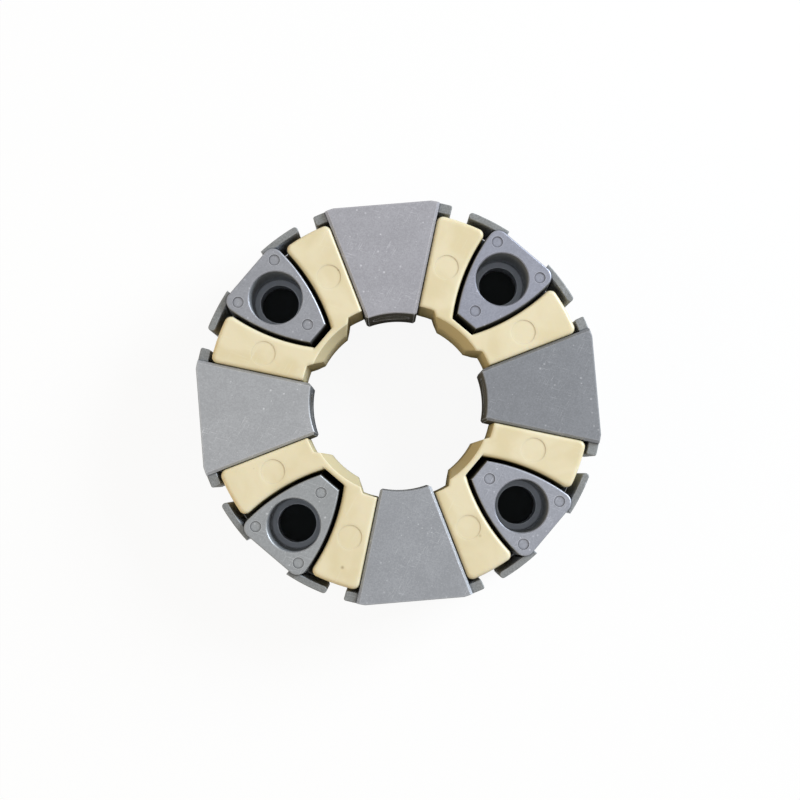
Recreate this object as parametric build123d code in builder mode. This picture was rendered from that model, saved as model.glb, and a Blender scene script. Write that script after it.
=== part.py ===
"""A flexible ring coupling that joins an engine flywheel to a hydraulic pump.

Four V-shaped elastomer elements sit between eight cast aluminium inserts. Four of the inserts take
axial bolts into the flywheel, and the other four take radial bolts into the hub on the pump shaft.
The ring lies flat: the origin is at its centre on the flywheel side, +Z runs along the shaft towards
the counterbored side, and the radial inserts lie along X and Y. All sizes are in millimetres.
"""

import math
import os

from build123d import *

# The whole ring
insert_count = 4  # of each kind, evenly spaced
ring_depth = 45.0  # between the two bolted faces
bolt_circle = 154.0  # diameter, of the axial bolts into the flywheel
rim_width = 21.0  # from the bolt circle to the reach of the ears
flat_inset = 2.9  # of the outer flat of each insert, from the reach of the ears
hub_diameter = 85.0  # of the seat that the radial inserts form for the hub
ear_setback = 2.5  # from a bolted face to the ears
cast_edge = 0.5  # broken edges of the castings and of their holes

# Radial insert
sector_angle = 32.9  # between its two flanks
radial_ear_angle = 40.4  # over its two ears
radial_ear_thickness = 4.8
ear_clearance = 1.4  # between these ears and the pads that they hook over
radial_ear_corner = 1.0
flank_bevel = 1.3
seat_corner = 1.0  # upright bevel between the hub seat and each flank
radial_bolt_hole = 17.5  # clearance for M16
radial_head_bore = 26.0  # for the bolt's head
radial_head_depth = 30.0

# Axial insert
axial_bolt_hole = 19.0
axial_head_bore = 25.5
axial_head_depth = 30.0
tip_gap = 1.8  # between its blunt tip and the floor of the pocket, at mid depth
axial_ear_angle = 39.0  # over its two ears
axial_ear_thickness = 3.3
axial_flat_width = 24.6  # of the outer flat, between the steps up to the ears
shoulder_radius = 5.0  # where its flanks turn into the outer flat
insert_draft = 3.0  # degrees, from mid depth towards each face
axial_face_edge = 0.8  # rounding round its two bolted faces

# Ejector marks, on the counterbored face of the axial insert
mark_diameter = 5.4
mark_depth = 0.6
tip_mark_inset = 7.5  # from the blunt tip
side_mark_inset = 4.9  # from the outer flat
side_mark_angle = 17.0  # between the two side marks

# Elastomer element
element_setback = 0.5  # from each bolted face
flank_clearance = 0.3  # between a pad and a radial insert
pocket_clearance = 0.3  # between a pad and an axial insert, at mid depth
pocket_draft = 1.5  # degrees, from mid depth towards each face
pocket_arc_radius = 91.0  # of the curved walls of the pocket, at mid depth
pocket_widest = 40.2  # across those walls, at their widest
pocket_widest_offset = 19.9  # of that place from the bolt circle, outwards
pocket_floor = 47.6  # from the axis to the flat floor of the pocket, at mid depth
pad_inner_radius = 46.8
outer_corner = 3.2
pad_edge = 1.8  # rounding along the pads
web_edge = 0.4  # rounding along the web and the pads' inner ends
web_radius = 41.0  # of the web's inner face
web_root_angle = 37.8  # between the two places where the web leaves the pads
web_ridge_angle = 24.0  # between the two ends of the web's inner face
web_chamfer = 3.6  # measured along the face
web_chamfer_depth = 7.6
witness_diameter = 11.6  # of the moulding witness on each pad
witness_depth = 0.2
witness_radius = 68.5  # from the axis
witness_angle = 41.2  # between the two witnesses of an element

# Worked out
bolt_radius = bolt_circle / 2
outer_radius = bolt_radius + rim_width
hub_radius = hub_diameter / 2
mid_depth = ring_depth / 2
insert_pitch = 360 / insert_count
ear_depth = ring_depth - 2 * ear_setback
element_depth = ring_depth - 2 * element_setback
element_angle = insert_pitch - sector_angle
flat_distance = outer_radius - flat_inset
pad_outer_radius = outer_radius - radial_ear_thickness - ear_clearance
pocket_widest_at = bolt_radius + pocket_widest_offset
tip_distance = pocket_floor + tip_gap
tip_mark_radius = tip_distance + tip_mark_inset
side_mark_radius = flat_distance - side_mark_inset
insert_shrink = mid_depth * math.tan(math.radians(insert_draft))
pocket_growth = mid_depth * math.tan(math.radians(pocket_draft))
flank_arc_offset = pocket_arc_radius - pocket_widest / 2
beyond = 2 * outer_radius  # a length that clears the whole ring
hair = 0.01  # how near a point has to be to count as lying on something


def polar(radius, angle):
    """The point at a radius and an angle in degrees, in the plane of the ring."""
    return (radius * math.cos(math.radians(angle)), radius * math.sin(math.radians(angle)))


def on_pad_flank(radius):
    """The point of an element's flank at a radius: a clearance inside the plane of the radial insert."""
    return polar(radius, element_angle / 2 - math.degrees(math.asin(flank_clearance / radius)))


def on_a_flank(edge):
    """Whether an edge of an insert about +X lies to one side, and not across the middle."""
    return abs(edge.center().Y) > hair


def sector(inner, outer, angle):
    """A sector of a ring about +X, added to the sketch that is open."""
    with BuildLine() as outline:
        start_in = polar(inner, -angle / 2)
        start_out = polar(outer, -angle / 2)
        end_out = polar(outer, angle / 2)
        end_in = polar(inner, angle / 2)
        Line(start_in, start_out)
        ThreePointArc(start_out, (outer, 0), end_out)
        Line(end_out, end_in)
        ThreePointArc(end_in, (inner, 0), start_in)
    make_face(outline.edges())


def pointed_arch(arc_radius, floor):
    """The outline that the pocket and its insert share: two big arcs that lean together, cut off flat."""
    with Locations((pocket_widest_at, -flank_arc_offset)):
        Circle(arc_radius)
    with Locations((pocket_widest_at, flank_arc_offset)):
        Circle(arc_radius, mode=Mode.INTERSECT)
    with Locations((floor, 0)):
        Rectangle(beyond, beyond, align=(Align.MIN, Align.CENTER), mode=Mode.INTERSECT)


def write_ring_of(master, name, first_angle):
    """One copy of a piece at each pitch of the ring, each with its own label and file."""
    for number in range(insert_count):
        with BuildPart() as piece:
            add(master.part, rotation=(0, 0, first_angle + number * insert_pitch))
        piece.part.label = f"{name}_{number + 1}"
        export_step(piece.part, f"parts/{piece.part.label}.step")


os.makedirs("parts", exist_ok=True)

# The radial insert: a sector with two square ears that hook over the pads, and a bolt hole from its
# outer flat to the hub.
with BuildPart() as radial_insert:
    with BuildSketch(Plane.XY.offset(ear_setback)):
        sector(outer_radius - radial_ear_thickness, outer_radius, radial_ear_angle)
        fillet(vertices(), radial_ear_corner)
        with Locations((flat_distance, 0)):
            Rectangle(beyond, beyond, align=(Align.MAX, Align.CENTER), mode=Mode.INTERSECT)
    extrude(amount=ear_depth)
    fillet(radial_insert.faces().filter_by(Axis.Z).edges(), cast_edge)
    with BuildSketch():
        sector(hub_radius, outer_radius, sector_angle)
        chamfer(vertices().group_by(Axis.X)[0], seat_corner)
        with Locations((flat_distance, 0)):
            Rectangle(beyond, beyond, align=(Align.MAX, Align.CENTER), mode=Mode.INTERSECT)
    extrude(amount=ring_depth)
    bolted_faces = radial_insert.faces().filter_by(Axis.Z).group_by(Axis.Z)
    face_edges = bolted_faces[0].edges() + bolted_faces[-1].edges()
    flank_lines = [edge for edge in face_edges.filter_by(GeomType.LINE) if on_a_flank(edge)]
    chamfer([edge for edge in flank_lines if edge.length > seat_corner * 2], flank_bevel)
    bolted_faces = radial_insert.faces().filter_by(Axis.Z).group_by(Axis.Z)
    face_edges = bolted_faces[0].edges() + bolted_faces[-1].edges()
    flank_lines = [edge for edge in face_edges.filter_by(GeomType.LINE) if on_a_flank(edge)]
    chamfer([edge for edge in face_edges if edge not in flank_lines], cast_edge)
    with Locations(Plane(origin=(flat_distance, 0, mid_depth), z_dir=(1, 0, 0))):
        CounterBoreHole(
            radius=radial_bolt_hole / 2,
            counter_bore_radius=radial_head_bore / 2,
            counter_bore_depth=radial_head_depth,
            depth=flat_distance,
        )
    chamfer(radial_insert.edges().filter_by(GeomType.CIRCLE).group_by(Axis.X)[-1], cast_edge)

# The axial insert: a blunt arrowhead, drafted both ways from mid depth, with two thin ears and a deep
# counterbore for the head of the axial bolt. The half above mid depth is made first, then mirrored.
with BuildPart() as axial_insert:
    with BuildSketch(Plane.XY.offset(mid_depth)):
        sector(outer_radius - axial_ear_thickness, outer_radius, axial_ear_angle)
        fillet(vertices(), axial_ear_thickness * 0.49)
        Rectangle(beyond, axial_flat_width, align=(Align.MIN, Align.CENTER), mode=Mode.SUBTRACT)
    extrude(amount=ear_depth / 2)
    fillet(axial_insert.faces().group_by(Axis.Z)[-1].edges(), cast_edge)
    for height, shrink in ((mid_depth, 0), (ring_depth, insert_shrink)):
        with BuildSketch(Plane.XY.offset(height)):
            pointed_arch(pocket_arc_radius - pocket_clearance - shrink, tip_distance + shrink)
            with Locations((flat_distance, 0)):
                Rectangle(beyond, beyond, align=(Align.MAX, Align.CENTER), mode=Mode.INTERSECT)
            fillet(vertices().group_by(Axis.X)[-1], shoulder_radius)
    loft()
    fillet(axial_insert.faces().sort_by(Axis.Z)[-1].edges(), axial_face_edge)
    mirror(about=Plane.XY.offset(mid_depth))
    with Locations((bolt_radius, 0, ring_depth)):
        CounterBoreHole(
            radius=axial_bolt_hole / 2,
            counter_bore_radius=axial_head_bore / 2,
            counter_bore_depth=axial_head_depth,
            depth=ring_depth,
        )
    chamfer(axial_insert.faces().sort_by(Axis.Z)[-1].edges().filter_by(GeomType.CIRCLE), cast_edge)
    chamfer(axial_insert.faces().sort_by(Axis.Z)[0].edges().filter_by(GeomType.CIRCLE), cast_edge)
    side_mark = polar(side_mark_radius, side_mark_angle / 2)
    with Locations(
        (tip_mark_radius, 0, ring_depth),
        (side_mark[0], side_mark[1], ring_depth),
        (side_mark[0], -side_mark[1], ring_depth),
    ):
        Hole(mark_diameter / 2, depth=mark_depth)

# The elastomer element: two pads, each between an axial and a radial insert, joined by a web that is
# chamfered at both faces. The pocket between the pads has curved walls that open towards both faces.
# The half above mid depth is made first, then mirrored.
with BuildPart() as elastic_element:
    with BuildSketch(Plane.XY.offset(mid_depth)):
        with BuildLine():
            outer_end = on_pad_flank(pad_outer_radius)
            inner_end = on_pad_flank(pad_inner_radius)
            web_root = polar(pad_inner_radius, web_root_angle / 2)
            pad_middle = polar(pad_inner_radius, element_angle / 4 + web_root_angle / 4)
            ridge_end = polar(web_radius, web_ridge_angle / 2)
            ThreePointArc((pad_outer_radius, 0), polar(pad_outer_radius, 1), outer_end)
            Line(outer_end, inner_end)
            ThreePointArc(inner_end, pad_middle, web_root)
            Line(web_root, ridge_end)
            ThreePointArc(ridge_end, polar(web_radius, 1), (web_radius, 0))
            Line((web_radius, 0), (pad_outer_radius, 0))
        make_face()
        mirror(about=Plane.XZ)
    extrude(amount=element_depth / 2)
    with Locations((0, 0, ring_depth - element_setback - web_chamfer_depth)):
        Cone(
            bottom_radius=web_radius,
            top_radius=web_radius + web_chamfer,
            height=web_chamfer_depth,
            align=(Align.CENTER, Align.CENTER, Align.MIN),
            mode=Mode.SUBTRACT,
        )
    for height, growth in ((mid_depth, 0), (ring_depth, pocket_growth)):
        with BuildSketch(Plane.XY.offset(height)):
            pointed_arch(pocket_arc_radius + growth, pocket_floor - growth)
    loft(mode=Mode.SUBTRACT)
    pad_top = ring_depth - element_setback
    corner_edges = [
        edge
        for edge in elastic_element.edges()
        if math.hypot(edge.center().X, edge.center().Y) > pad_outer_radius - hair
        and mid_depth + hair < edge.center().Z < pad_top - hair
    ]
    fillet(corner_edges, outer_corner)
    top_edges = elastic_element.faces().sort_by(Axis.Z)[-1].edges()
    fillet([edge for edge in top_edges if edge.center().X > pocket_floor], pad_edge)
    top_edges = elastic_element.faces().sort_by(Axis.Z)[-1].edges()
    fillet([edge for edge in top_edges if edge.center().X < web_radius + web_chamfer + web_edge], web_edge)
    mirror(about=Plane.XY.offset(mid_depth))
    witness = polar(witness_radius, witness_angle / 2)
    with Locations((witness[0], witness[1], pad_top), (witness[0], -witness[1], pad_top)):
        Hole(witness_diameter / 2, depth=witness_depth)

write_ring_of(radial_insert, "radial_insert", 0)
write_ring_of(axial_insert, "axial_insert", insert_pitch / 2)
write_ring_of(elastic_element, "elastic_element", insert_pitch / 2)
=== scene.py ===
# %% [markdown]
# # A flexible ring coupling
#
# The real object joins an engine flywheel to a hydraulic pump. Cream elastomer elements, each bent
# round like a V, sit between eight grey aluminium inserts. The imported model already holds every
# piece at its real size, so this lesson is about surfaces and light: how cast metal and moulded
# elastomer get their grain, specks, scuffs and worn edges from nodes alone.
#
# The first step loads the model. Its pieces arrive in metres, with the ring flat on the ground and
# its counterbored side up. The size is noted before anything is added.

# %% Load the model and note its size
import math

import bmesh
import bpy
from mathutils import Matrix, Vector


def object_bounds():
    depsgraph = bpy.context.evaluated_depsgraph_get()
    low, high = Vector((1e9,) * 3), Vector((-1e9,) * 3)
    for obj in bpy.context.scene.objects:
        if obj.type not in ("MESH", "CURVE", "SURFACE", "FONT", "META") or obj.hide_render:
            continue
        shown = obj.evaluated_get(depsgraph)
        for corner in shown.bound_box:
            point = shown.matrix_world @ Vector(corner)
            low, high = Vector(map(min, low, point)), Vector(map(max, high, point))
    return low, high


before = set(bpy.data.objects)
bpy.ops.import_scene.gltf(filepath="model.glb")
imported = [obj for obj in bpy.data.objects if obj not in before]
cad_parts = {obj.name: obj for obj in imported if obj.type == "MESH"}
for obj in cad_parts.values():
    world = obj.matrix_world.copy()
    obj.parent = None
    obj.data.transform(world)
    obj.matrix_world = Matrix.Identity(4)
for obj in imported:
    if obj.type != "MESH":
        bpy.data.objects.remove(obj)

cad_low, cad_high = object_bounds()
ring_depth = cad_high.z - cad_low.z
print("pieces:", len(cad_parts), "depth in mm:", round(ring_depth * 1000, 1))

# %% [markdown]
# ## Colours that come back
#
# Colours are noted as they look on a screen, from 0 to 255, because that is how an eye compares
# them. Shaders work in linear light, so one small function turns the one into the other. Greys and
# darker tones of a colour are needed often as well, and those are plain shares of linear light.

# %% Helpers for colours
def screen_colour(red, green, blue):
    """A colour noted from 0 to 255, as the linear colour that a shader wants."""
    linear = []
    for value in (red, green, blue):
        share = value / 255
        linear.append(share / 12.92 if share <= 0.04045 else ((share + 0.055) / 1.055) ** 2.4)
    return (*linear, 1.0)


def grey(level):
    """A linear grey."""
    return (level, level, level, 1.0)


def darker(colour, share):
    """A linear colour times a share."""
    return tuple(share * value for value in colour[:3]) + (1.0,)


print("middle grey in linear light:", round(screen_colour(128, 128, 128)[0], 3))

# %% [markdown]
# ## Nodes that come back
#
# Shader trees are built with a few helpers. One adds a node and sets its options and inputs, and
# the others add the kinds that are used most: a sum, a product, a smooth step from 0 to 1 and a
# blend of two colours.

# %% Helpers for nodes
def fill_inputs(tree, node, inputs):
    """Sets a node's inputs, by name or by number, to values or links them to sockets."""
    for name, value in inputs.items():
        if isinstance(value, bpy.types.NodeSocket):
            tree.links.new(value, node.inputs[name])
        else:
            node.inputs[name].default_value = value


def add_node(tree, kind, options=None, inputs=None):
    """A node with its options set and its inputs filled."""
    node = tree.nodes.new(kind)
    for name, value in (options or {}).items():
        setattr(node, name, value)
    fill_inputs(tree, node, inputs or {})
    return node


def maths(tree, operation, first, second=0.0):
    """The result of one Math node."""
    node = add_node(tree, "ShaderNodeMath", {"operation": operation}, {0: first, 1: second})
    return node.outputs[0]


def times(tree, value, share):
    """The product of two values, such as a mask and the share of it that shows."""
    return maths(tree, "MULTIPLY", value, share)


def between(tree, value, low, high):
    """Runs smoothly from 0 where the value is low to 1 where it is high."""
    ranged = add_node(
        tree,
        "ShaderNodeMapRange",
        {"interpolation_type": "SMOOTHSTEP"},
        {"Value": value, "From Min": low, "From Max": high},
    )
    return ranged.outputs["Result"]


def blend_colour(tree, mask, first, second, way="MIX"):
    """One colour laid over another by a mask. The node's sockets share names, so they go by number."""
    mix = add_node(
        tree,
        "ShaderNodeMix",
        {"data_type": "RGBA", "blend_type": way},
        {0: mask, 6: first, 7: second},
    )
    return mix.outputs[2]


print("node helpers ready")

# %% [markdown]
# ## Finishes that come back
#
# Both materials need grain, specks, scuffs and worn edges, in their own sizes. Each of these is a
# node group, which is built once and then placed in a material with its own values.

# %% Helpers for node groups
def start_group(name, numbers, outputs):
    """A new node group with a Vector input, number inputs with defaults, and number outputs."""
    group = bpy.data.node_groups.new(name, "ShaderNodeTree")
    group.interface.new_socket("Vector", in_out="INPUT", socket_type="NodeSocketVector")
    for label, default in numbers.items():
        socket = group.interface.new_socket(label, in_out="INPUT", socket_type="NodeSocketFloat")
        socket.default_value = default
    for label in outputs:
        group.interface.new_socket(label, in_out="OUTPUT", socket_type="NodeSocketFloat")
    source = group.nodes.new("NodeGroupInput").outputs
    result = group.nodes.new("NodeGroupOutput").inputs
    return group, source, result


def place_group(tree, group, inputs):
    """A copy of a node group in a material, with its own values."""
    return add_node(tree, "ShaderNodeGroup", {"node_tree": group}, inputs).outputs


print("group helpers ready")

# %% [markdown]
# ## Grain: what a mould leaves behind
#
# Both materials took their skin from a mould. Die-cast aluminium has a fine, slightly pebbled grain,
# and elastomer has a much softer one. Noise at two sizes gives both: a fine one for the touch of the
# surface and a broad one for the slow swell under it. The group gives heights for a Bump node.

# %% Build the grain group
fine_share = 0.45

grain_group, source, result = start_group(
    "mould_grain", {"Fine": 1500.0, "Broad": 160.0}, ["Height"]
)
fine = add_node(
    grain_group,
    "ShaderNodeTexNoise",
    inputs={"Vector": source["Vector"], "Scale": source["Fine"], "Detail": 3.0, "Roughness": 0.6},
)
broad = add_node(
    grain_group,
    "ShaderNodeTexNoise",
    inputs={"Vector": source["Vector"], "Scale": source["Broad"], "Detail": 2.0, "Roughness": 0.5},
)
fine_height = times(grain_group, fine.outputs["Fac"], fine_share)
height = maths(grain_group, "ADD", fine_height, broad.outputs["Fac"])
grain_group.links.new(height, result["Height"])
print("group:", grain_group.name)

# %% [markdown]
# ## Specks: small marks, each on its own
#
# Handling leaves tiny bright nicks on aluminium, and moulding leaves a few dark specks in a pale
# elastomer. A Voronoi texture cuts space into cells, each with a random colour. Keeping only the
# cells whose colour falls under a limit gives scattered marks, and the distance to each cell's
# centre rounds them off. The share of cells kept and the size of a mark are inputs.

# %% Build the speck group
speck_group, source, result = start_group(
    "scattered_specks", {"Scale": 400.0, "Share": 0.08, "Size": 0.25}, ["Mask"]
)
cells = add_node(
    speck_group,
    "ShaderNodeTexVoronoi",
    inputs={"Vector": source["Vector"], "Scale": source["Scale"], "Randomness": 1.0},
)
cell_colour = add_node(
    speck_group, "ShaderNodeSeparateColor", inputs={"Color": cells.outputs["Color"]}
).outputs
kept = maths(speck_group, "LESS_THAN", cell_colour["Red"], source["Share"])
size = times(speck_group, source["Size"], cell_colour["Green"])
spot = between(speck_group, cells.outputs["Distance"], size, 0.0)
speck_group.links.new(times(speck_group, kept, spot), result["Mask"])
print("group:", speck_group.name)

# %% [markdown]
# ## Scuffs: fine lines in two directions
#
# Castings that slide over each other in a bin get fine scratches. Noise that is squeezed along one
# axis turns into long streaks, and only its peaks are kept. A second, turned set keeps the scuffs
# from looking combed, and a broad noise lets them come and go over the face.

# %% Build the scuff group
turns_in_degrees = (22.0, -57.0)
squeeze = (1.0, 26.0, 1.0)
peak_width = 0.09
scuffed_from, scuffed_fully = 0.42, 0.62

scuff_group, source, result = start_group("fine_scuffs", {"Scale": 90.0, "Limit": 0.62}, ["Mask"])
peak = maths(scuff_group, "ADD", source["Limit"], peak_width)
streaks = []
for turn in turns_in_degrees:
    turned = add_node(
        scuff_group,
        "ShaderNodeMapping",
        inputs={"Vector": source["Vector"], "Rotation": (0.0, 0.0, math.radians(turn))},
    ).outputs["Vector"]
    squeezed = add_node(
        scuff_group, "ShaderNodeMapping", inputs={"Vector": turned, "Scale": squeeze}
    ).outputs["Vector"]
    lines = add_node(
        scuff_group,
        "ShaderNodeTexNoise",
        inputs={"Vector": squeezed, "Scale": source["Scale"], "Detail": 1.0},
    )
    streaks.append(between(scuff_group, lines.outputs["Fac"], source["Limit"], peak))
patches = add_node(
    scuff_group,
    "ShaderNodeTexNoise",
    inputs={"Vector": source["Vector"], "Scale": 45.0, "Detail": 2.0},
)
where = between(scuff_group, patches.outputs["Fac"], scuffed_from, scuffed_fully)
streak = maths(scuff_group, "MAXIMUM", *streaks)
scuff_group.links.new(times(scuff_group, streak, where), result["Mask"])
print("group:", scuff_group.name)

# %% [markdown]
# ## Edges and hollows
#
# Edges of a casting rub bright, and they get a painted highlight as well. Hollows, deep holes and
# creases get painted shade, and the bores of the outer ring get painted light. A Bevel node works out
# the normal that the surface would have with softened edges. Where that normal leans away from the
# true one, there is an edge. Their agreement is 1 on a flat surface, and an edge lowers it.
#
# The hollows come from Ambient Occlusion nodes, whose openness is low where other surfaces crowd in.
# All of this reads the shape itself, so it fits every piece without being placed. A hollow counts
# every piece round it. A bore counts only its own piece, and so do the deepest places, such as the
# inside of a through hole. A crease has a short reach, for the line round a sunk mark. Each mask has
# the two values of openness at which it starts and is full.

# %% Build the edge and hollow group
edge_starts, edge_full = 0.995, 0.90
hollow_masks = {
    "Hollow": ("all pieces", 0.70, 0.12),
    "Bore": ("own piece", 0.80, 0.25),
    "Deep": ("own piece", 0.16, 0.04),
    "Crease": ("close by", 0.98, 0.60),
}

edge_group, source, result = start_group(
    "edges_and_hollows",
    {"Edge width": 0.0007, "Hollow reach": 0.02, "Crease reach": 0.0012},
    ["Edge", *hollow_masks],
)
softened = add_node(edge_group, "ShaderNodeBevel", {"samples": 6}, {"Radius": source["Edge width"]})
surface = add_node(edge_group, "ShaderNodeNewGeometry")
agreement = add_node(
    edge_group,
    "ShaderNodeVectorMath",
    {"operation": "DOT_PRODUCT"},
    {0: softened.outputs["Normal"], 1: surface.outputs["Normal"]},
)
edge = between(edge_group, agreement.outputs["Value"], edge_starts, edge_full)
edge_group.links.new(edge, result["Edge"])

lookouts = {
    "all pieces": (source["Hollow reach"], False),
    "own piece": (source["Hollow reach"], True),
    "close by": (source["Crease reach"], True),
}
openness = {}
for lookout, (reach, only_local) in lookouts.items():
    crowded = add_node(
        edge_group,
        "ShaderNodeAmbientOcclusion",
        {"samples": 8, "only_local": only_local},
        {"Distance": reach},
    )
    openness[lookout] = crowded.outputs["AO"]
for label, (lookout, starts, full) in hollow_masks.items():
    edge_group.links.new(between(edge_group, openness[lookout], starts, full), result[label])
print("group:", edge_group.name)

# %% [markdown]
# ## Which faces are bolted
#
# The two faces that get bolted up are bright, and so are the bevels round them, which handling rubs
# first. Everything else keeps its darker cast skin: flanks, ears, bores and the hub seat. A point
# belongs to a bolted face or its bevel where the surface leans no more than about halfway off the
# shaft's direction and lies near either end of the ring's depth. A second result tells level surfaces
# from upright ones at any height. A third grows from the hub outwards. It sets where the inner walls
# get painted shade and which bores get painted light, and it keeps the gloss off the inner walls.
#
# The bevel's depth and the two radii are in metres. The others are the Z part of the normal, which
# is 1 on a level surface and 0 on an upright one.

# %% Build the bolted face group
under_bevel, on_bevel = 0.0022, 0.0015
too_steep, facing_up = 0.45, 0.62
upright, level_enough = 0.2, 0.6
near_hub, near_rim = 0.050, 0.085

bolted_group, source, result = start_group(
    "bolted_faces", {"Depth": ring_depth}, ["Mask", "Level", "Outside"]
)
surface = add_node(bolted_group, "ShaderNodeNewGeometry")
direction = add_node(bolted_group, "ShaderNodeSeparateXYZ", inputs={0: surface.outputs["Normal"]})
along = maths(bolted_group, "ABSOLUTE", direction.outputs["Z"])
place = add_node(bolted_group, "ShaderNodeSeparateXYZ", inputs={0: source["Vector"]}).outputs
middle = times(bolted_group, source["Depth"], 0.5)
off_middle = maths(bolted_group, "ABSOLUTE", maths(bolted_group, "SUBTRACT", place["Z"], middle))
from_face = maths(bolted_group, "SUBTRACT", middle, off_middle)
at_end = between(bolted_group, from_face, under_bevel, on_bevel)
faces_out = between(bolted_group, along, too_steep, facing_up)
bolted_group.links.new(times(bolted_group, at_end, faces_out), result["Mask"])
bolted_group.links.new(between(bolted_group, along, upright, level_enough), result["Level"])
squares = [times(bolted_group, place[axis], place[axis]) for axis in "XY"]
from_axis = maths(bolted_group, "SQRT", maths(bolted_group, "ADD", *squares))
bolted_group.links.new(between(bolted_group, from_axis, near_hub, near_rim), result["Outside"])
print("group:", bolted_group.name)

# %% [markdown]
# ## Die-cast aluminium: its marks
#
# The bolted faces are a dull blue-grey with fine grain, bright nicks and a few short scuffs, and
# their edges are rubbed lighter and get a painted highlight as well. The cast skin round them is
# darker and rougher. Its tone changes in patches, which a broad and a fine noise give together. The
# bores of the outer ring are painted lighter than the skin, as painted light against their shade,
# and those near the hub keep the painted shade of the walls there.
#
# First come the masks that say where each of these shows. They are gathered in a dictionary, so
# that colour, metal, roughness and relief can all be worked out from the same ones.

# %% Gather the marks of the aluminium
nick_look = {"Scale": 480.0, "Share": 0.20, "Size": 0.40}
fleck_look = {"Scale": 1300.0, "Share": 0.22, "Size": 0.5}
pit_look = {"Scale": 800.0, "Share": 0.10, "Size": 0.40}
scuff_look = {"Scale": 150.0, "Limit": 0.65}
cloud_look = {"Scale": 95.0, "Detail": 5.0}
mottle_look = {"Scale": 1500.0, "Detail": 2.0}
cloud_part, mottle_part = 0.3, 0.7
pale_from, pale_fully = 0.38, 0.62
fleck_strength, scuff_strength = 0.45, 0.65
# Painted light in the bores comes in from the hub and is full at this share of the outward mask.
bore_light_full_at = 0.3


def aluminium_marks(tree, place):
    """The masks for the marks and wear of cast aluminium, and for where light and shade are painted.
    """
    nicks = place_group(tree, speck_group, {"Vector": place, **nick_look})["Mask"]
    flecks = place_group(tree, speck_group, {"Vector": place, **fleck_look})["Mask"]
    pits = place_group(tree, speck_group, {"Vector": place, **pit_look})["Mask"]
    scuffs = place_group(tree, scuff_group, {"Vector": place, **scuff_look})["Mask"]
    rims = place_group(tree, edge_group, {"Edge width": 0.0005, "Hollow reach": 0.02})
    parts = place_group(tree, bolted_group, {"Vector": place})
    clouds = add_node(tree, "ShaderNodeTexNoise", inputs={"Vector": place, **cloud_look})
    mottle = add_node(tree, "ShaderNodeTexNoise", inputs={"Vector": place, **mottle_look})
    broad = times(tree, clouds.outputs["Fac"], cloud_part)
    close = times(tree, mottle.outputs["Fac"], mottle_part)
    scratched = maths(tree, "MAXIMUM", nicks, times(tree, flecks, fleck_strength))
    # Painted light: where the bores of the outer ring are painted lighter.
    bored = times(tree, rims["Bore"], maths(tree, "SUBTRACT", 1.0, parts["Mask"]))
    bore_light_reach = between(tree, parts["Outside"], 0.0, bore_light_full_at)
    return {
        "bolted": parts["Mask"],
        "level": parts["Level"],
        "outside": parts["Outside"],
        "bored": times(tree, bored, bore_light_reach),
        "edge": rims["Edge"],
        "deep": rims["Deep"],
        "crease": rims["Crease"],
        "pits": pits,
        "flecks": flecks,
        "scratched": maths(tree, "MAXIMUM", scratched, times(tree, scuffs, scuff_strength)),
        "pale": between(tree, maths(tree, "ADD", broad, close), pale_from, pale_fully),
    }


print("marks come from", len(bpy.data.node_groups), "groups")

# %% [markdown]
# ## Die-cast aluminium: its colours
#
# Colours are laid over each other by the masks: first the cast tone, then the marks, then the wear
# and painted highlight at the edges, then the painted light in the bores, and last the painted shade
# in deep holes and creases. The walls are painted darker at the hub, as painted shade, and are paler
# at the rim.
#
# Metal mirrors the lamps as well as the sky, so a level face comes out brighter than its own
# colour. That gain is divided out, so that the colours can still be written down as they look.

# %% Colour the aluminium
mirror_gain = 1.14
edge_lift = 62
face_dark, face_pale = 0.93, 1.07
skin_dark, skin_pale = 0.86, 1.14
pit_tone, pit_strength = 0.7, 0.55
# Painted shade in deep holes.
deep_shade_tone, deep_shade_strength = 0.55, 0.85
# Painted shade along creases, such as the line round a sunk mark.
crease_shade_tone, crease_shade_strength = 0.3, 0.8
scratches_on_face, scratches_on_skin = 0.75, 0.35
# Edges are laid over with a lighter colour: rubbed wear, with a painted highlight as well.
edge_wear_and_highlight_strength = 0.8

skin = screen_colour(138, 139, 138)
# Painted shade: the walls are darker at the hub and paler at the rim.
hub_wall_shade = screen_colour(100, 101, 102)
rim_wall = screen_colour(146, 148, 149)
# Painted light: bores are painted lighter than the skin, their walls more than their ledges.
bore_wall_light = screen_colour(206, 212, 222)
bore_ledge_light = screen_colour(178, 184, 194)


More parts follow.
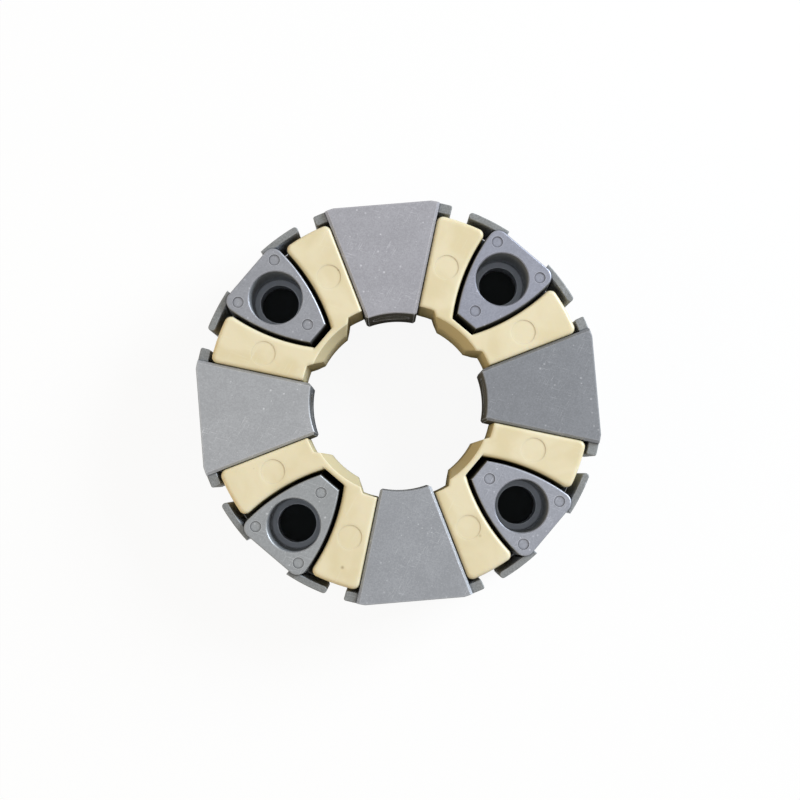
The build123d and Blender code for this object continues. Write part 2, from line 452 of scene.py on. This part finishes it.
def aluminium_colour(tree, marks, face):
    """The colour of cast aluminium, from the screen colour of its bolted faces."""
    lifted = (min(255, value + edge_lift) for value in face)
    base = darker(screen_colour(*face), 1 / mirror_gain)
    bright = darker(screen_colour(*lifted), 1 / mirror_gain)

    bolted = blend_colour(tree, marks["pale"], darker(base, face_dark), darker(base, face_pale))
    pitted = times(tree, marks["pits"], pit_strength)
    bolted = blend_colour(tree, pitted, bolted, darker(base, pit_tone))
    bolted = blend_colour(tree, times(tree, marks["scratched"], scratches_on_face), bolted, bright)

    # Painted shade on the walls, darker towards the hub.
    wall = blend_colour(tree, marks["outside"], hub_wall_shade, rim_wall)
    cast = blend_colour(tree, marks["level"], wall, skin)
    patches = blend_colour(tree, marks["pale"], grey(skin_dark), grey(skin_pale))
    cast = blend_colour(tree, 1.0, cast, patches, "MULTIPLY")
    cast = blend_colour(tree, times(tree, marks["scratched"], scratches_on_skin), cast, bright)

    colour = blend_colour(tree, marks["bolted"], cast, bolted)
    # Rubbed wear and painted highlight on the edges.
    colour = blend_colour(tree, times(tree, marks["edge"], edge_wear_and_highlight_strength), colour, bright)
    # Painted light in the bores.
    bore_light = blend_colour(tree, marks["level"], bore_wall_light, bore_ledge_light)
    colour = blend_colour(tree, marks["bored"], colour, bore_light)
    # Painted shade: the deepest places, such as the inside of a through hole, get a darker skin
    # colour.
    deep = times(tree, marks["deep"], deep_shade_strength)
    colour = blend_colour(tree, deep, colour, darker(skin, deep_shade_tone))
    # Painted shade along creases.
    crease = times(tree, marks["crease"], crease_shade_strength)
    return blend_colour(tree, crease, colour, darker(base, crease_shade_tone))


print("hub wall in linear light:", [round(value, 3) for value in hub_wall_shade[:3]])

# %% [markdown]
# ## Die-cast aluminium: its surface
#
# Oxide scatters light, so the skin is less metallic than the bolted faces, and rougher. The walls
# round the hub have no gloss at all, since they are seen at a glancing angle and would mirror the
# white floor. Pits are sunk and flecks stand up, on top of the mould's grain.
#
# The inserts differ a little in tone, so the material is a function with the face's colour as its
# input.

# %% Make the aluminium
metal_in_bores, metal_outside, most_metal = 0.6, 0.7, 0.85
skin_roughness = 0.60
smoother_faces, smoother_edges, smoother_scratches = 0.16, 0.20, 0.1
pit_depth, fleck_height = 0.8, 0.5


def make_aluminium(name, face):
    """Cast aluminium, with the colour of its bolted faces given as it looks on a screen."""
    material = bpy.data.materials.new(name)
    material.use_nodes = True
    tree = material.node_tree
    shader = tree.nodes["Principled BSDF"]
    place = add_node(tree, "ShaderNodeTexCoord").outputs["Object"]
    marks = aluminium_marks(tree, place)
    tree.links.new(aluminium_colour(tree, marks, face), shader.inputs["Base Color"])

    bare = maths(tree, "MAXIMUM", marks["bolted"], marks["edge"])
    bare = maths(tree, "MAXIMUM", bare, times(tree, marks["bored"], metal_in_bores))
    bare = maths(tree, "MAXIMUM", bare, times(tree, marks["outside"], metal_outside))
    tree.links.new(times(tree, bare, most_metal), shader.inputs["Metallic"])
    shader.inputs["Specular IOR Level"].default_value = 0.0

    rough = maths(tree, "SUBTRACT", skin_roughness, times(tree, marks["bolted"], smoother_faces))
    rough = maths(tree, "SUBTRACT", rough, times(tree, marks["edge"], smoother_edges))
    rough = maths(tree, "SUBTRACT", rough, times(tree, marks["scratched"], smoother_scratches))
    tree.links.new(rough, shader.inputs["Roughness"])

    grain = place_group(tree, grain_group, {"Vector": place, "Fine": 2400.0, "Broad": 700.0})
    relief = maths(tree, "SUBTRACT", grain["Height"], times(tree, marks["pits"], pit_depth))
    relief = maths(tree, "ADD", relief, times(tree, marks["flecks"], fleck_height))
    bump = add_node(
        tree, "ShaderNodeBump", inputs={"Strength": 0.4, "Distance": 0.0001, "Height": relief}
    )
    tree.links.new(bump.outputs["Normal"], shader.inputs["Normal"])
    return material


insert_faces = {
    "radial_insert_1": (141, 143, 147),
    "radial_insert_2": (171, 170, 175),
    "radial_insert_3": (174, 175, 177),
    "radial_insert_4": (162, 164, 168),
    "axial_insert_1": (157, 159, 170),
    "axial_insert_2": (159, 160, 165),
    "axial_insert_3": (162, 164, 165),
    "axial_insert_4": (163, 165, 173),
}
metals = {
    node: make_aluminium(f"cast_aluminium_{node}", face) for node, face in insert_faces.items()
}
print("metals:", len(metals))

# %% [markdown]
# ## Cream elastomer: its colours
#
# The elements are moulded in a firm, cream thermoplastic. It is a little yellower in some places
# than in others, with a few tiny specks and faint rub marks. Its edges get a painted highlight. The
# walls between the faces are painted darker and yellower than the faces, most towards the hub, as
# painted shade. Hollows are painted olive as the shade there, where light that bounces about between
# cream walls loses more blue each time, and a darker line is painted along creases as painted shade.

# %% Colour the elastomer
yellower_from, yellower_fully = 0.38, 0.62
speck_look = {"Scale": 210.0, "Share": 0.07, "Size": 0.28}
speck_strength, rub_strength = 0.85, 0.22
# The shares of the painted highlight on edges and of the painted shade line along creases.
edge_highlight_strength, shade_line_strength = 0.35, 0.25

pale = screen_colour(238, 226, 193)
warm = screen_colour(230, 216, 178)
# A dark colour for the specks, which are real, and for the painted shade line along creases.
speck_and_shade_line = screen_colour(168, 150, 112)
# A pale colour for rub marks, which are wear, and for the painted highlight on edges.
rub_and_highlight_pale = screen_colour(246, 240, 220)
# Painted shade in hollows.
olive_shade = screen_colour(150, 138, 92)
# Painted shade: the walls are darker than the faces, most at the hub.
inner_wall_shade = screen_colour(203, 189, 151)
outer_wall_shade = screen_colour(228, 214, 180)


def elastomer_colour(tree, place, parts, flow):
    """The colour of the elastomer, from the masks of its faces and the noise of its flow."""
    specks = place_group(tree, speck_group, {"Vector": place, **speck_look})
    rubs = place_group(tree, scuff_group, {"Vector": place, "Scale": 55.0, "Limit": 0.66})
    rims = place_group(tree, edge_group, {"Edge width": 0.0009, "Hollow reach": 0.03})

    colour = blend_colour(tree, between(tree, flow, yellower_from, yellower_fully), pale, warm)
    colour = blend_colour(tree, times(tree, specks["Mask"], speck_strength), colour, speck_and_shade_line)
    colour = blend_colour(tree, times(tree, rubs["Mask"], rub_strength), colour, rub_and_highlight_pale)
    # Painted highlight along the edges.
    colour = blend_colour(tree, times(tree, rims["Edge"], edge_highlight_strength), colour, rub_and_highlight_pale)
    # Painted shade on the walls, darker towards the hub.
    side = blend_colour(tree, parts["Outside"], inner_wall_shade, outer_wall_shade)
    colour = blend_colour(tree, parts["Mask"], side, colour)
    # Painted shade: hollows turn olive, except on the edges.
    hollow_shade = times(tree, rims["Hollow"], maths(tree, "SUBTRACT", 1.0, rims["Edge"]))
    colour = blend_colour(tree, hollow_shade, colour, olive_shade)
    # Painted shade along creases, in the speck colour.
    return blend_colour(tree, times(tree, rims["Crease"], shade_line_strength), colour, speck_and_shade_line)


print("cream in linear light:", [round(value, 3) for value in pale[:3]])

# %% [markdown]
# ## Cream elastomer: its surface
#
# The elastomer is nearly smooth. Its gloss is a thin coat on the faces and the outside, while the
# inner walls stay matt. A touch of subsurface scattering gives it the waxy look that separates it
# from paint, and red light travels furthest in it. Moulded edges swell a little before they turn,
# so the normal comes from a wide Bevel node, which lets an edge catch the lamp in a soft band.

# %% Make the elastomer
smoothest, rougher_by_flow = 0.44, 0.12
coat_strength = 0.9
swell_radius = 0.0022


def make_elastomer(name):
    """Cream moulded elastomer."""
    material = bpy.data.materials.new(name)
    material.use_nodes = True
    tree = material.node_tree
    shader = tree.nodes["Principled BSDF"]
    place = add_node(tree, "ShaderNodeTexCoord").outputs["Object"]
    parts = place_group(tree, bolted_group, {"Vector": place})
    flow = add_node(
        tree,
        "ShaderNodeTexNoise",
        inputs={"Vector": place, "Scale": 38.0, "Detail": 3.0, "Distortion": 0.6},
    ).outputs["Fac"]
    tree.links.new(elastomer_colour(tree, place, parts, flow), shader.inputs["Base Color"])
    rough = maths(tree, "ADD", smoothest, times(tree, flow, rougher_by_flow))
    tree.links.new(rough, shader.inputs["Roughness"])
    glossy = maths(tree, "MAXIMUM", parts["Mask"], parts["Outside"])
    tree.links.new(times(tree, glossy, coat_strength), shader.inputs["Coat Weight"])
    shader.inputs["Coat Roughness"].default_value = 0.34
    shader.inputs["Specular IOR Level"].default_value = 0.0
    shader.inputs["Subsurface Weight"].default_value = 0.12
    shader.inputs["Subsurface Radius"].default_value = (0.0022, 0.0015, 0.0007)
    shader.inputs["Subsurface Scale"].default_value = 1.0

    grain = place_group(tree, grain_group, {"Vector": place, "Fine": 1300.0, "Broad": 110.0})
    swell = add_node(tree, "ShaderNodeBevel", {"samples": 8}, {"Radius": swell_radius})
    bump = add_node(
        tree,
        "ShaderNodeBump",
        inputs={
            "Strength": 0.25,
            "Distance": 0.0001,
            "Height": grain["Height"],
            "Normal": swell.outputs["Normal"],
        },
    )
    tree.links.new(bump.outputs["Normal"], shader.inputs["Normal"])
    return material


elastomer = make_elastomer("cream_elastomer")
print("elastomer:", elastomer.name)

# %% [markdown]
# ## Dress the pieces
#
# Every piece already has the right shape, so it keeps its mesh and only its material slots change.
# A node that isn't among the metals is an elastomer element.

# %% Give each piece its material
for node_name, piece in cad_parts.items():
    finish = metals.get(node_name, elastomer)
    for material_slot in piece.material_slots:
        material_slot.material = finish
    print(node_name, "gets", finish.name)

# %% [markdown]
# ## The floor
#
# The ring lies on a large, flat disc, a hair's breadth under its lowest face so that the two don't
# flicker into each other. Its measures are in metres.

# %% Lay the floor
floor_radius = 3.0
floor_drop = 0.0002

floor_mesh = bmesh.new()
bmesh.ops.create_circle(floor_mesh, cap_ends=True, segments=96, radius=floor_radius)
floor_data = bpy.data.meshes.new("floor")
floor_mesh.to_mesh(floor_data)
floor_mesh.free()
floor = bpy.data.objects.new("floor", floor_data)
floor.location.z = cad_low.z - floor_drop
bpy.context.scene.collection.objects.link(floor)
print("floor at z in mm:", round(floor.location.z * 1000, 2))

# %% [markdown]
# ## The floor's paint
#
# To the camera, and in mirrors and glass, the floor is nearly white and keeps the ring's soft
# shadow. To all other light it is a dim grey, so that it doesn't light the walls from below. Under
# the pieces it is painted dark, a painted shade like that of bolt holes and gaps when nothing lights
# what is behind them. That dark band runs from a little outside the hub seat to a little under the
# ears. The distance from the centre, read from Object coordinates, says where it is.

# %% Paint the floor
dark_from, dark_to = 0.0472, 0.0948
soft_rim = 0.0004
white_share = 0.92


def seen_directly(tree):
    """1 for light that goes to the camera, also by way of a mirror or glass, and 0 for the rest."""
    rays = add_node(tree, "ShaderNodeLightPath").outputs
    seen = maths(tree, "MAXIMUM", rays["Is Camera Ray"], rays["Is Glossy Ray"])
    return maths(tree, "MAXIMUM", seen, rays["Is Transmission Ray"])


def plain_shader(tree, kind, colour):
    """A shader with one colour."""
    return add_node(tree, kind, inputs={"Color": colour}).outputs[0]


def blend_shader(tree, mask, first, second):
    """One shader laid over another by a mask."""
    return add_node(tree, "ShaderNodeMixShader", inputs={0: mask, 1: first, 2: second}).outputs[0]


floor_paint = bpy.data.materials.new("pale_floor")
floor_paint.use_nodes = True
tree = floor_paint.node_tree
tree.nodes.clear()
place = add_node(tree, "ShaderNodeTexCoord").outputs["Object"]
flat = add_node(
    tree, "ShaderNodeVectorMath", {"operation": "MULTIPLY"}, {0: place, 1: (1.0, 1.0, 0.0)}
).outputs["Vector"]
from_centre = add_node(
    tree, "ShaderNodeVectorMath", {"operation": "LENGTH"}, {0: flat}
).outputs["Value"]
inside = between(tree, from_centre, dark_from - soft_rim, dark_from)
outside = between(tree, from_centre, dark_to, dark_to + soft_rim)
dark = times(tree, inside, maths(tree, "SUBTRACT", 1.0, outside))

dim = plain_shader(tree, "ShaderNodeBsdfDiffuse", grey(0.16))
shaded = plain_shader(tree, "ShaderNodeBsdfDiffuse", grey(0.97))
white = plain_shader(tree, "ShaderNodeEmission", grey(1.0))
# Painted shade: a dark floor under the pieces, for the holes and gaps.
shade_paint = plain_shader(tree, "ShaderNodeBsdfDiffuse", screen_colour(66, 70, 72))
pale_floor = blend_shader(tree, white_share, shaded, white)
ground = blend_shader(tree, seen_directly(tree), dim, pale_floor)
whole = blend_shader(tree, dark, ground, shade_paint)
add_node(tree, "ShaderNodeOutputMaterial", inputs={"Surface": whole})
floor_data.materials.append(floor_paint)
print("dark under the pieces, in mm from the centre:", dark_from * 1000, "to", dark_to * 1000)

# %% [markdown]
# ## Light
#
# The light is that of a plain room. A large, cool lamp stands fairly low at the right, so bevels and
# rims that face that way catch it, and sunk marks are a little darker on one side. A weak warm one,
# lower still, stands opposite. It hardly touches the level faces, but it reaches over the ring onto
# the inner walls at the right and turns them mustard. It is kept out of reflections, where it would
# turn the bevels of the castings orange.
#
# A lamp's share of the level follows from its power: a lamp of P watts at a distance d adds
# P cos(a) / (pi d)^2 to a level surface, where a is its angle from straight up. So the lamps are
# given by the share that they add, and their power is worked out.

# %% Set the lamps
ring_centre = Vector((0.0, 0.0, ring_depth))
cool_tint, warm_tint = (0.80, 0.89, 1.0), (1.0, 0.78, 0.45)


def add_softbox(name, share, compass, height_angle, distance, side, tint):
    """A square lamp that looks at the ring and adds a share of the full level to its faces."""
    around = math.radians(compass)
    up = math.radians(height_angle)
    away = Vector((math.cos(around) * math.cos(up), math.sin(around) * math.cos(up), math.sin(up)))
    lamp = bpy.data.lights.new(name, "AREA")
    lamp.shape = "SQUARE"
    lamp.size = side
    lamp.color = tint
    lamp.energy = share * (math.pi * distance) ** 2 / math.sin(up)
    lamp_object = bpy.data.objects.new(name, lamp)
    lamp_object.location = ring_centre + away * distance
    lamp_object.rotation_euler = away.to_track_quat("Z", "Y").to_euler()
    bpy.context.scene.collection.objects.link(lamp_object)
    print(name, "power in W:", round(lamp.energy, 1))
    return lamp_object


add_softbox(
    "key_lamp", share=0.60, compass=24, height_angle=28, distance=2.6, side=1.14, tint=cool_tint
)
fill = add_softbox(
    "fill_lamp", share=0.12, compass=186, height_angle=15, distance=1.7, side=1.2, tint=warm_tint
)
fill.visible_glossy = False

# %% [markdown]
# ## Sky
#
# The sky adds a low, slightly warm level all round, as light from the walls of a room would.
# Together with the lamps it brings a level surface to about the colour it is painted with. Seen
# directly or in a mirror it is plain white, like the background that the camera sees.

# %% Set the sky
sky_level, white_level = 0.36, 1.0
warm_room = (1.07, 1.0, 0.86, 1.0)

sky = bpy.data.worlds.new("studio")
sky.use_nodes = True
bpy.context.scene.world = sky
tree = sky.node_tree
tree.nodes.clear()
shown = seen_directly(tree)
level = add_node(
    tree, "ShaderNodeMapRange", inputs={"Value": shown, "To Min": sky_level, "To Max": white_level}
).outputs["Result"]
sky_colour = blend_colour(tree, shown, warm_room, grey(1.0))
glow = add_node(tree, "ShaderNodeBackground", inputs={"Color": sky_colour, "Strength": level})
add_node(tree, "ShaderNodeOutputWorld", inputs={"Surface": glow.outputs[0]})
print("sky level:", sky_level)

# %% [markdown]
# ## The camera
#
# The picture was taken from about 78 cm straight above the ring, a little turned and tilted. Three
# small turns and the place of the ring's centre in front of the lens say all of that. The turns
# carry the ring into the camera's view, so the camera itself gets the opposite turn.

# %% Place the camera
lens_in_pixels = 1547.4
picture_side = 800
sensor_side = 36.0
tilt, lean, roll = -0.0483, 0.0086, 0.0825
eye_in_view = Vector((0.00113, 0.00292, 0.783))

into_view = (
    Matrix.Rotation(tilt, 3, "X") @ Matrix.Rotation(lean, 3, "Y") @ Matrix.Rotation(roll, 3, "Z")
)
out_of_view = into_view.transposed()
camera_data = bpy.data.cameras.new("camera")
camera_data.sensor_width = sensor_side
camera_data.lens = sensor_side * lens_in_pixels / picture_side
camera = bpy.data.objects.new("camera", camera_data)
camera.matrix_world = Matrix.Translation(out_of_view @ eye_in_view) @ out_of_view.to_4x4()
bpy.context.scene.collection.objects.link(camera)
bpy.context.scene.camera = camera
bpy.context.scene.view_settings.view_transform = "Standard"
print("lens in mm:", round(camera_data.lens, 2))
print("camera at:", [round(value, 3) for value in camera.location])
